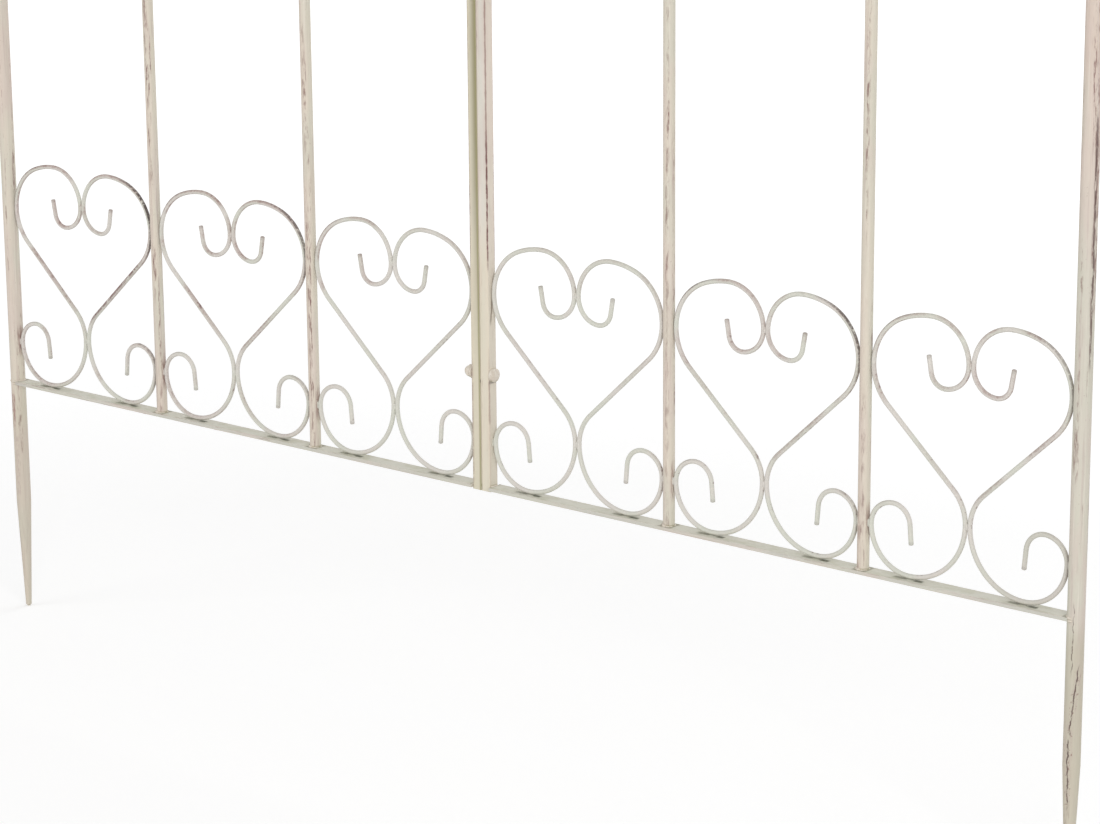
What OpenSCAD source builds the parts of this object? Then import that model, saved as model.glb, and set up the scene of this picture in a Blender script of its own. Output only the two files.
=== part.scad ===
// Wide arch-topped garden trellis of painted steel, in two half panels bolted together at the centre.
// The frame stands along X, its front faces -Y, and Z is up from the tips of the two ground spikes.

/* [Panel] */
// Clear width between two neighbouring uprights
cell_w = 185; // [175:1:205]
// Height from the underside of the lower rail to where the side tubes start to bend
straight_h = 1215; // [1000:5:1400]
// Height of the upper rail's underside above the lower rail's underside
upper_rail_h = 1175; // [900:5:1205]
// Gap between the two half panels at the centre
seam_gap = 0.3; // [0.1:0.1:1]
// Gap left at a round welded contact
weld_gap = 0.3; // [0.1:0.1:0.8]

/* [Side tubes] */
// Outside diameter of the round side tube
leg_d = 14; // [12:0.5:18]
// Wall of the side tube
leg_wall = 1.2; // [0.8:0.1:2]
// Depth of the ground spike below the lower rail
spike_len = 226; // [180:1:280]
// Straight part of the side tube between the lower rail and the spike's taper
spike_shank = 118; // [90:1:140]
// Diameter of the spike's blunt tip
spike_tip_d = 5.5; // [4:0.5:7]
// Radius of the bend at the shoulder of the arch, on the tube's centre line
shoulder_bend_r = 250; // [200:5:300]
// Angle that the shoulder bend turns before the flatter crown
shoulder_bend_angle = 55; // [45:1:65]

/* [Bars and rails] */
// Diameter of the round inner bars
bar_d = 10; // [8:0.5:12]
// Wall of the round inner bars
bar_wall = 1; // [0.8:0.1:1.5]
// Width of the square centre tubes
post_w = 10; // [9:0.5:14]
// Wall of the square centre tubes
post_wall = 1; // [0.8:0.1:1.5]
// Outside corner radius of the square centre tubes
post_corner_r = 1.2; // [0.8:0.1:2]
// Length of centre tube below the rail's underside
post_below = 1.5; // [1:0.5:6]
// Width of the flat rails, front to back
rail_w = 15; // [14:0.5:20]
// Thickness of the flat rails
rail_t = 3; // [2:0.1:4]
// Distance from the side tube's axis to the rail's coped end
cope_end = 3.5; // [2.5:0.5:5]

/* [Scroll wires] */
// Diameter of the scroll wire
wire_d = 4; // [3:0.5:5]
// Radius of the wire's bend from the heart's point down to the rail
foot_r = 51; // [46:1:54]
// Radius of the lower curl above its widest place
lower_curl_r = 20.3; // [18:0.5:24]
// Radius of the lower hook
lower_hook_r = 16.5; // [13:0.5:18]
// Angle that the lower hook turns
lower_hook_angle = 85; // [60:1:90]
// Straight end of the lower hook
lower_tail = 16; // [8:1:20]
// Radius of the bend from the heart's point up to its flank
waist_r = 37; // [30:1:45]
// Slope of the heart's straight flank
flank_angle = 43; // [40:1:46]
// Radius of the heart's lobe on its outer side
lobe_r = 43.5; // [40:0.5:46]
// Angle that the outer side of the lobe turns past its widest place
lobe_angle = 68; // [60:1:75]
// Radius of the slightly flattened top of the lobe
crown_r = 70; // [60:1:80]
// Radius of the upper curl below the place where the two wires touch
upper_curl_r = 21.4; // [18:0.1:23]
// Radius of the upper hook
upper_hook_r = 13; // [10:0.5:15]
// Angle that the upper hook turns
upper_hook_angle = 80; // [60:1:90]
// Straight end of the upper hook
upper_tail = 14; // [8:1:18]

/* [Joining bolts] */
// Diameter of the bolts through the two centre tubes
bolt_d = 6; // [5:0.5:6]
// Clearance of the bolt in its holes, on the diameter
bolt_clearance = 0.5; // [0.3:0.1:1]
// Height of the lowest bolt above the lower rail's underside
first_bolt_h = 102; // [90:1:120]
// Distance from one bolt to the next
bolt_pitch = 580; // [450:10:600]
// Diameter of the bolt's pan head
bolt_head_d = 12; // [10:0.5:13]
// Height of the pan head
bolt_head_h = 4.6; // [3:0.1:5]
// Radius of the pan head's crowned top
bolt_crown_r = 10; // [8:0.5:14]
// Width of the cap nut across its flats
nut_af = 10; // [9:0.5:10]
// Height of the cap nut's six-sided part
nut_h = 4.5; // [4:0.1:5]
// Height of the whole cap nut with its dome
cap_h = 9; // [8:0.5:11]
// Thickness of the dome past the end of the blind hole
cap_wall = 2.5; // [2:0.5:3]
// Diameter of the washer under the cap nut
washer_d = 12.5; // [11:0.5:13]
// Thickness of the washer
washer_t = 1.2; // [0.8:0.1:1.6]

/* [Hidden] */
$fn = 64;
paint = "#D8CEBF";
rail_paint = "#C2C2AC";
wire_paint = "#CFC8B4";

cells_per_half = 3;
heart_count = 2 * cells_per_half;
bar_count = heart_count - 2;
bolt_count = 3;

// Heights above the spike tips
rail_z = spike_len;
rail_top = rail_z + rail_t;
upper_rail_z = rail_z + upper_rail_h;
bend_z = rail_z + straight_h;

// Places along X, as distances from the seam
post_in = seam_gap / 2;
post_out = post_in + post_w;
cell_pitch = cell_w + bar_d;
leg_face = post_out + cells_per_half * cell_w + (cells_per_half - 1) * bar_d;
leg_x = leg_face + leg_d / 2;

// The crown of the arch runs from the shoulder bend to the seam and ends level
crown_bend_angle = 90 - shoulder_bend_angle;
crown_bend_r = (leg_x - post_in - shoulder_bend_r * (1 - cos(shoulder_bend_angle)))
    / cos(shoulder_bend_angle);
shoulder_cx = leg_x - shoulder_bend_r;
crown_cz = bend_z + (shoulder_bend_r - crown_bend_r) * sin(shoulder_bend_angle);
shoulder_end_x = shoulder_cx + shoulder_bend_r * cos(shoulder_bend_angle);
taper_h = spike_len - spike_shank;
tip_h = spike_tip_d / 3;

// Scroll: the wire's centre line touches its twin at twin_x and an upright at side_x
wire_r = wire_d / 2;
twin_x = wire_r + weld_gap / 2;
side_x = cell_w / 2 - wire_r - weld_gap;
reach = side_x - twin_x;
point_z = rail_top + weld_gap + wire_r + foot_r;
heel_r = reach - foot_r;
flank_turn = 90 - flank_angle;
flank_len = (reach - (waist_r + lobe_r) * (1 - cos(flank_turn))) / cos(flank_angle);
crown_turn = 90 - lobe_angle;
inner_r = reach - lobe_r * (1 - cos(lobe_angle)) - crown_r * cos(lobe_angle);
wire_chamfer = wire_d / 8;
cap_bore_h = cap_h - cap_wall;
cap_dome_d = nut_af - bolt_clearance;

// Where two bends meet, a sleeve a hair wider than the rod makes them one piece
sleeve_len = 0.8;
sleeve_t = 0.05;

// A run is a list of stretches [turn, radius or length, angle]: turn is 1 left, -1 right, 0 straight
LEFT = 1;
RIGHT = -1;
AHEAD = 0;

lower_run = [
    [LEFT, foot_r, 90],
    [LEFT, heel_r, 90],
    [LEFT, lower_curl_r, 90],
    [LEFT, lower_hook_r, lower_hook_angle],
    [AHEAD, lower_tail, 0]
];
upper_run = [
    [RIGHT, waist_r, flank_turn],
    [AHEAD, flank_len, 0],
    [LEFT, lobe_r, flank_turn + lobe_angle],
    [LEFT, crown_r, crown_turn],
    [LEFT, inner_r, 90],
    [LEFT, upper_curl_r, 90],
    [LEFT, upper_hook_r, upper_hook_angle],
    [AHEAD, upper_tail, 0]
];

// State [x, z, heading] at the far end of one stretch
function after(s, t) = t[0] == AHEAD
    ? [s[0] + t[1] * cos(s[2]), s[1] + t[1] * sin(s[2]), s[2]]
    : let (h = s[2] + t[0] * t[2])
        [s[0] + t[0] * t[1] * (sin(h) - sin(s[2])), s[1] - t[0] * t[1] * (cos(h) - cos(s[2])), h];
// State after the first n stretches of a run
function along(s, run, n) = n == 0 ? s : after(along(s, run, n - 1), run[n - 1]);

// Names and places of the pieces that repeat, counted from left to right
SIDES = ["left", "right"];
function heart_node(i, side) = str("heart_", i, "_", side, "_scroll");
function bar_node(i) = str("bar_", i);
function top_bar_node(i) = str("top_bar_", i);
function side_node(side, name) = str(side, "_", name);
function bolt_node(i) = str("joining_bolt_", i);
function washer_node(i) = str("washer_", i);
function nut_node(i) = str("cap_nut_", i);
function heart_sign(i) = i <= cells_per_half ? -1 : 1;
function heart_step(i) = i <= cells_per_half ? cells_per_half - i : i - cells_per_half - 1;
function heart_x(i) = heart_sign(i) * (post_out + cell_w / 2 + heart_step(i) * cell_pitch);
function bar_sign(i) = i <= bar_count / 2 ? -1 : 1;
function bar_step(i) = i <= bar_count / 2 ? bar_count / 2 - i : i - bar_count / 2 - 1;
function bar_x(i) = bar_sign(i) * (post_out + cell_w + bar_d / 2 + bar_step(i) * cell_pitch);
function bolt_z(i) = rail_z + first_bolt_h + (i - 1) * bolt_pitch;

// One stretch of round rod along +X from the origin, or round a bend
module stretch(t, d) {
    if (t[0] == AHEAD)
        rotate([0, 90, 0]) cylinder(d = d, h = t[1]);
    else
        translate([0, t[0] * t[1]])
            rotate(t[0] == LEFT ? -90 : 90 - t[2])
                rotate_extrude(angle = t[2], $fn = 96)
                    translate([t[1], 0]) circle(d = d, $fn = 32);
}

// Round rod of diameter d that follows a run, drawn in the XY plane
module rod(start, run, d) {
    for (n = [0:len(run) - 1]) {
        s = along(start, run, n);
        translate([s[0], s[1]]) rotate(s[2]) {
            stretch(run[n], d);
            if (n > 0) sleeve(d);
        }
    }
}

// Sleeve about the origin, along X
module sleeve(d) {
    rotate([0, 90, 0]) cylinder(d = d + 2 * sleeve_t, h = sleeve_len, center = true);
}

// Chamfered end of the wire at the end of a run
module wire_end(start, run) {
    s = along(start, run, len(run));
    translate([s[0], s[1]]) rotate(s[2]) rotate([0, 90, 0])
        cylinder(d1 = wire_d, d2 = wire_d - 2 * wire_chamfer, h = wire_chamfer);
}

// Right half of a heart: one wire bent into an S, from the lower hook to the upper hook
module half_heart() {
    down = [twin_x, point_z, -90];
    up = [twin_x, point_z, 90];
    rotate([90, 0, 0]) {
        rod(down, lower_run, wire_d);
        rod(up, upper_run, wire_d);
        translate([twin_x, point_z]) rotate(90) sleeve(wire_d);
        wire_end(down, lower_run);
        wire_end(up, upper_run);
    }
}

module heart_scroll(i, side) {
    color(wire_paint) translate([heart_x(i), 0, 0])
        if (side == "right") half_heart();
        else mirror([1, 0, 0]) half_heart();
}

// Side tube of diameter d over the right half, from the top of the spike to the seam
module bent_tube(d) {
    rotate([90, 0, 0])
        rod([leg_x, taper_h, 90], [
            [AHEAD, bend_z - taper_h, 0],
            [LEFT, shoulder_bend_r, shoulder_bend_angle],
            [LEFT, crown_bend_r, crown_bend_angle]
        ], d);
}

// Side tube: a pointed spike, the straight leg, and the bent half of the arch
module side_tube() {
    difference() {
        union() {
            translate([leg_x, 0, 0]) {
                cylinder(d1 = spike_tip_d - 2 * tip_h, d2 = spike_tip_d, h = tip_h);
                translate([0, 0, tip_h])
                    cylinder(d1 = spike_tip_d, d2 = leg_d, h = taper_h - tip_h);
                translate([0, 0, taper_h]) rotate([0, 90, 0]) sleeve(leg_d);
            }
            bent_tube(leg_d);
        }
        bent_tube(leg_d - 2 * leg_wall);
    }
}

// Height of the arch tube's centre line at a distance x from the seam
function arch_z(x) = x < shoulder_end_x
    ? crown_cz + sqrt(pow(crown_bend_r, 2) - pow(x - post_in, 2))
    : bend_z + sqrt(pow(shoulder_bend_r, 2) - pow(x - shoulder_cx, 2));

// Cuts the top of an upright to the arch tube above it
module cope() {
    difference() {
        children();
        bent_tube(leg_d + 2 * weld_gap);
    }
}

module outline_square(w, r) {
    translate([-w / 2, -w / 2]) {
        translate([r, 0]) square([w - 2 * r, w]);
        translate([0, r]) square([w, w - 2 * r]);
        for (x = [r, w - r], y = [r, w - r]) translate([x, y]) circle(r = r, $fn = 32);
    }
}

module centre_tube() {
    base_z = rail_z - post_below;
    cope() difference() {
        translate([post_in + post_w / 2, 0, base_z])
            linear_extrude(arch_z(post_out) - base_z) difference() {
                outline_square(post_w, post_corner_r);
                square(post_w - 2 * post_wall, center = true);
            }
        for (i = [1:bolt_count])
            translate([0, 0, bolt_z(i)]) rotate([0, 90, 0])
                cylinder(d = bolt_d + bolt_clearance, h = 2 * post_out);
    }
}

// Flat rail between a centre tube and a side tube, coped to the round tube
module rail(z) {
    difference() {
        translate([post_out, -rail_w / 2, z])
            cube([leg_x - cope_end - post_out, rail_w, rail_t]);
        translate([leg_x, 0, z - rail_t]) cylinder(d = leg_d + 2 * weld_gap, h = 3 * rail_t);
    }
}

module round_tube(d, wall, h) {
    difference() {
        cylinder(d = d, h = h);
        translate([0, 0, -1]) cylinder(d = d - 2 * wall, h = h + 2);
    }
}

// Round bar between the two rails
module bar(i) {
    color(paint) translate([bar_x(i), 0, rail_top])
        round_tube(bar_d, bar_wall, upper_rail_z - rail_top);
}

// Short round bar between the upper rail and the arch
module top_bar(i) {
    x = abs(bar_x(i));
    z = upper_rail_z + rail_t;
    color(paint) on_side(bar_sign(i) < 0 ? "left" : "right")
        cope() translate([x, 0, z]) round_tube(bar_d, bar_wall, arch_z(x) - z);
}

// Bolt through the two centre tubes, its head on the right and its end in the cap nut on the left
module joining_bolt(i) {
    shank = 2 * post_out + washer_t + cap_bore_h - bolt_clearance;
    color(paint) translate([0, 0, bolt_z(i)]) rotate([0, 90, 0]) {
        translate([0, 0, post_out - shank]) cylinder(d = bolt_d, h = shank);
        translate([0, 0, post_out]) crowned(bolt_head_d, bolt_head_h, bolt_crown_r);
    }
}

// Round stud with a crowned top, for the bolt's pan head and the cap nut's dome
module crowned(d, h, crown_r) {
    intersection() {
        translate([0, 0, h - crown_r]) sphere(r = crown_r, $fn = 96);
        cylinder(d = d, h = h);
    }
}

module washer(i) {
    color(paint) translate([-post_out - washer_t, 0, bolt_z(i)]) rotate([0, 90, 0])
        difference() {
            cylinder(d = washer_d, h = washer_t);
            cylinder(d = bolt_d + bolt_clearance, h = washer_t);
        }
}

// Cap nut: a six-sided base, a dome that covers the end of the bolt, and a blind hole
module cap_nut(i) {
    color(paint) translate([-post_out - washer_t, 0, bolt_z(i)]) rotate([0, -90, 0])
        difference() {
            union() {
                cylinder(d = nut_af / cos(30), h = nut_h, $fn = 6);
                crowned(cap_dome_d, cap_h, cap_dome_d / 2);
            }
            cylinder(d = bolt_d + bolt_clearance, h = cap_bore_h);
        }
}

// The right half as drawn, or its mirror image on the left
module on_side(side) {
    if (side == "right") children();
    else mirror([1, 0, 0]) children();
}

for (s = SIDES) {
    color(paint) on_side(s) side_tube();
    color(paint) on_side(s) centre_tube();
    color(rail_paint) on_side(s) rail(rail_z);
    color(rail_paint) on_side(s) rail(upper_rail_z);
}
for (i = [1:bar_count]) {
    bar(i);
    top_bar(i);
}
for (i = [1:heart_count], s = SIDES)
    heart_scroll(i, s);
for (i = [1:bolt_count]) {
    joining_bolt(i);
    washer(i);
    cap_nut(i);
}
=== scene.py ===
import math

import bmesh
import bpy
from mathutils import Matrix, Vector, noise


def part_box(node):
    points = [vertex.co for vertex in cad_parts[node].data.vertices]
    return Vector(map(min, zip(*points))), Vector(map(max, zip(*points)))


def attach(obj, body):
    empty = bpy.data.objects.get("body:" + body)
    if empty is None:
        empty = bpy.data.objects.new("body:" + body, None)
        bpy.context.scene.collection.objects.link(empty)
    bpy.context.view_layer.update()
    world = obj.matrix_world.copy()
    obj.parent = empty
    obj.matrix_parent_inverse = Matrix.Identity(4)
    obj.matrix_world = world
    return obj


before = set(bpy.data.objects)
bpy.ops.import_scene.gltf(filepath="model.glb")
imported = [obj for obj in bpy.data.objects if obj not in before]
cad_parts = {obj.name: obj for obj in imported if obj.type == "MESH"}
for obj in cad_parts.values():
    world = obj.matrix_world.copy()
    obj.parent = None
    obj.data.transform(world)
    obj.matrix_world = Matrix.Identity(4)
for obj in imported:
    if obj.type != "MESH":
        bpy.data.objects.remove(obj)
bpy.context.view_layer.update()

MM = 0.001

# Camera, solved from the straight edges in the photograph
CAMERA_PLACE = (1.944141, -2.271376, 1.093850)
CAMERA_TURN = 39.480
CAMERA_DOWN = 14.996
CAMERA_ROLL = -0.462
CAMERA_LENS = 117.706
SENSOR_WIDTH = 36.0

# Lamps: name, place, aim, width and height, and power in watts
LAMPS = (
    ("key_left", (-3.4, -5.4, 2.2), (0, 0, 0.7), (3.6, 3.6), 97),
    ("fill_right", (5.6, -4.3, 2.2), (0, 0, 0.7), (3.6, 3.6), 212),
    ("back_soft", (0.5, 3.6, 2.4), (0, 0, 0.8), (3.0, 2.0), 35),
)
SOFT_LIGHT = 0.55
WHITE_LIGHT = 1.0

# Floor: half its width, its colour, and the glow that whitens it for the camera, which grows
# from the first strength to the second between two distances from the middle
FLOOR_HALF = 8.0
FLOOR_COLOUR = (0.86, 0.86, 0.86, 1)
FLOOR_GLOW = (0.295, 0.6)
FLOOR_GLOW_REACH = (0.8, 4.0)

# Places read from the frame
RAIL_LOW, RAIL_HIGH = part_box("right_lower_rail")
RAIL_TOP = RAIL_HIGH.z
RAIL_HALF = RAIL_HIGH.y
RAIL_HALF_T = (RAIL_HIGH.z - RAIL_LOW.z) / 2
RAIL_MID = (RAIL_LOW.z + RAIL_HIGH.z) / 2
UPPER_RAIL_LOW, UPPER_RAIL_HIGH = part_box("right_upper_rail")
UPPER_RAIL_MID = (UPPER_RAIL_LOW.z + UPPER_RAIL_HIGH.z) / 2
POST_LOW, POST_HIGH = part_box("right_centre_tube")
POST_MID = (POST_LOW.x + POST_HIGH.x) / 2
POST_HALF = (POST_HIGH.x - POST_LOW.x) / 2
BARS = [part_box(f"bar_{i}") for i in range(1, 5)]
TOP_BARS = [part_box(f"top_bar_{i}") for i in range(1, 5)]
BAR_R = BARS[0][1].y
LEG_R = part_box("right_side_tube")[1].y
LEG_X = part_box("right_side_tube")[1].x - LEG_R
CELL_PITCH = BARS[3][0].x - BARS[2][0].x
CELL_W = CELL_PITCH - 2 * BAR_R
BOLTS = [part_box(f"joining_bolt_{i}") for i in range(1, 4)]
BOLT_HEIGHTS = [(low.z + high.z) / 2 for low, high in BOLTS]
BOLT_HEAD_R = (BOLTS[0][1].z - BOLTS[0][0].z) / 2

# The wire's two cut ends, as distances from the heart's middle and above the rail
LOWER_TIP = (52.07 * MM, 28.65 * MM)
UPPER_TIP = (38.78 * MM, 184.35 * MM)

# The arch of the side tubes: shoulder bend, then the flatter crown
BEND_Z = 1441.0 * MM
SHOULDER_R = 250.0 * MM
SHOULDER_TURN = math.radians(55)
SHOULDER_X = LEG_X - SHOULDER_R
CROWN_X = POST_LOW.x
CROWN_R = (LEG_X - CROWN_X - SHOULDER_R * (1 - math.cos(SHOULDER_TURN))) / math.cos(SHOULDER_TURN)
CROWN_Z = BEND_Z + (SHOULDER_R - CROWN_R) * math.sin(SHOULDER_TURN)

# A span is its middle, half its length, and the length of its soft end.
# A fade is the place where it is nothing and the place where it is full.
# Marks on the centre tubes, by height
WORST_WEAR_SPAN = (478 * MM, 38 * MM, 30 * MM)
HIGH_WEAR_SPAN = (575 * MM, 75 * MM, 30 * MM)
LOW_WEAR_SPAN = (306 * MM, 17 * MM, 8 * MM)
LEFT_EDGE_SPAN = (285 * MM, 48 * MM, 12 * MM)
LESSER_WEAR_FADE = (420 * MM, 480 * MM)
SCRATCH_SPAN = (394 * MM, 16 * MM, 8 * MM)
SCRATCH_SLOPE = -0.11
SEAM_FADE = (300 * MM, 560 * MM)
POST_FRONT_FADE = (480 * MM, 420 * MM)
POST_FLANK_FADE = (460 * MM, 400 * MM)

# Marks on the side tubes, by height
LEG_GREEN_FADE = (600 * MM, 500 * MM)
LEG_FOOT_FADE = (120 * MM, 190 * MM)
LEG_ROSE_FADE = (580 * MM, 660 * MM)
LEG_RUB_FADE = (405 * MM, 445 * MM)
LEG_LOW_SHADE_FADE = (RAIL_TOP + 2 * MM, RAIL_LOW.z - 25 * MM)
HIGH_LINE_SPAN = (575 * MM, 32 * MM, 16 * MM)
LOW_LINE_SPAN = (482 * MM, 48 * MM, 14 * MM)

# Chips on the legs below the rail. Across the tube, a place is given by how squarely it
# faces right. The row slants, and stays above the least value.
CHIP_ROW_SPAN = (132 * MM, 52 * MM, 10 * MM)
CHIP_ROW_Z = 186 * MM
CHIP_ROW_SLOPE = 15.0
CHIP_ROW_FACING = 0.25
CHIP_ROW_LEAST = -0.58
SHORT_ROW_SPAN = (212 * MM, 20 * MM, 12 * MM)
SHORT_ROW_FACING = (-0.45, 0.02, 0.07)
SCRAPE_SPAN = (201 * MM, 13 * MM, 8 * MM)
SCRAPE_FACING = (-0.72, 0.22, 0.12)
FAINT_SPAN = (145 * MM, 25 * MM, 10 * MM)
FAINT_FACING = (-0.45, 0.15, 0.20)

# Marks on the bars, rails and hearts, by place from left to right
BAR_RUB_FADE = (80 * MM, -80 * MM)
RAIL_RUB_FADE = (-100 * MM, -350 * MM)
WIRE_BROWN_FADE = (-50 * MM, -350 * MM)
DARKER_LEFT_SPAN = (-400 * MM, 170 * MM, 50 * MM)
DARKER_RIGHT_SPAN = (297.7 * MM, 80 * MM, 30 * MM)
DARKEST_SPAN = (-445 * MM, 50 * MM, 20 * MM)
SPARED_SPAN = (45 * MM, 145 * MM, 40 * MM)
SPARED_LOW_SPAN = (-150 * MM, 40 * MM, 20 * MM)
FIRST_HEART_FADE = (-360 * MM, -400 * MM)
LAST_HEART_FADE = (480 * MM, 540 * MM)

# Marks on the hearts, by height
WIRE_HEIGHT_FADE = (RAIL_TOP + 30 * MM, RAIL_TOP + 190 * MM)
SPARED_LOW_FADE = (RAIL_TOP + 150 * MM, RAIL_TOP + 130 * MM)
LAST_LOW_FADE = (RAIL_TOP + 100 * MM, RAIL_TOP + 60 * MM)
FLANK_SPAN = (RAIL_TOP + 106 * MM, 24 * MM, 14 * MM)

# Weld beads: the sides of their section, the size of their lumps, how far one seed's lumps
# are from the next, and their radii
BEAD_SIDES = 12
LUMP_SIZE = 2.2 * MM
SEED_STEP = (7.31, 3.17, 5.93)
BAR_BEAD_R = 0.8 * MM
BAR_DROP_R = 1.8 * MM
ARCH_BEAD_R = 1.0 * MM
TWIN_BEAD_R = 0.95 * MM
SIDE_BEAD_R = 0.9 * MM
FOOT_BEAD_R = 0.6 * MM
RAIL_END_BEAD_R = 1.35 * MM
CENTRE_BEAD_R = 1.0 * MM
# The first seed of each kind of weld
ARCH_SEED = 900
SCROLL_SEED = 200
RAIL_END_SEED = 500
CENTRE_SEED = 700
# How many steps a bead has
BAR_STEPS = 26
DROP_STEPS = 12
ARCH_STEPS = 18
RAIL_END_STEPS = 40
CENTRE_STEPS = 16
# The two halves of a bead round a bar, in degrees
BAR_HALVES = ((190, 350), (12, 168))
# The lump at the front left of a bar, in degrees
DROP_TURN = (205, 275)
# Points along a bead, in millimetres from its middle
TWIN_STEPS = (-3, -2, -1, 0, 1, 2, 3)
SIDE_STEPS = (-3.2, -2, -1, 0, 1, 2, 3.2)
FOOT_STEPS = (-3.4, -2.2, -1, 0, 1, 2.2, 3.4)


def tone(r, g, b):
    """A colour from 0 to 255 a channel, as linear values."""
    def linear(level):
        share = level / 255
        return share / 12.92 if share <= 0.04045 else ((share + 0.055) / 1.055) ** 2.4
    return (linear(r), linear(g), linear(b), 1.0)


# Paint in general
CREAM = tone(216, 206, 193)
PALE = tone(226, 218, 206)
GREEN = tone(203, 202, 186)
PINK = tone(208, 191, 182)
TAN = tone(178, 158, 152)
BROWN = tone(134, 99, 92)
MAROON = tone(104, 62, 62)
# The next two colours are for painted shade
OLIVE_SHADE = tone(146, 142, 105)
SHADE = tone(80, 81, 55)
SLATE = tone(112, 104, 98)

# Round tubes
TUBE_WARM = tone(214, 203, 183)
LEG_GREEN = tone(202, 200, 186)
LEG_ROSE = tone(204, 186, 172)
LEG_LINE = tone(96, 74, 70)
LEG_LOW_SHADE = tone(184, 177, 157)
CHIP_DARK = tone(84, 64, 60)
SCRAPE_RED = tone(150, 106, 104)

# Square centre tubes
POST_CREAM = tone(222, 212, 201)
POST_MIDDLE = tone(213, 213, 203)
POST_FLANK = tone(226, 215, 200)
POST_LOW_FLANK_SHADE = tone(206, 200, 182)
POST_LOW_FRONT = tone(220, 210, 184)
POST_SHADED_FRONT = tone(200, 193, 166)
POST_SEAM_SHADE = tone(138, 130, 98)
POST_EDGE = tone(160, 142, 132)
POST_SCRATCH = tone(120, 104, 88)

# Rails
RAIL_CREAM = tone(199, 197, 187)
RAIL_TOP_LIGHT = tone(218, 216, 203)
RAIL_BLOTCH = tone(190, 189, 164)
RAIL_GAP_SHADE = tone(112, 110, 84)
RAIL_CORNER_SHADE = tone(120, 118, 92)

# Scroll wire
WIRE_CREAM = tone(210, 205, 198)
WIRE_GREEN = tone(206, 206, 195)
WIRE_OUTER_DARK = tone(100, 90, 86)
WIRE_DARKEST = tone(76, 66, 62)
WIRE_FLANK = tone(146, 122, 116)
WIRE_MAROON = tone(112, 78, 76)
WIRE_DULL = tone(188, 182, 172)

# Welds
WELD_DARK = tone(208, 197, 182)
WELD_PALE = tone(218, 210, 197)

# Level directions, as x and y: to the left and the right of the front, nearly to the front,
# and across the rubbed line of the right leg
LEFTWARD = (-0.77, -0.64)
RIGHTWARD = (0.77, 0.64)
FRONT_LEFT = (0.30, -0.95)
LINE_SIDE = (0.33, 0.94)


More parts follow.
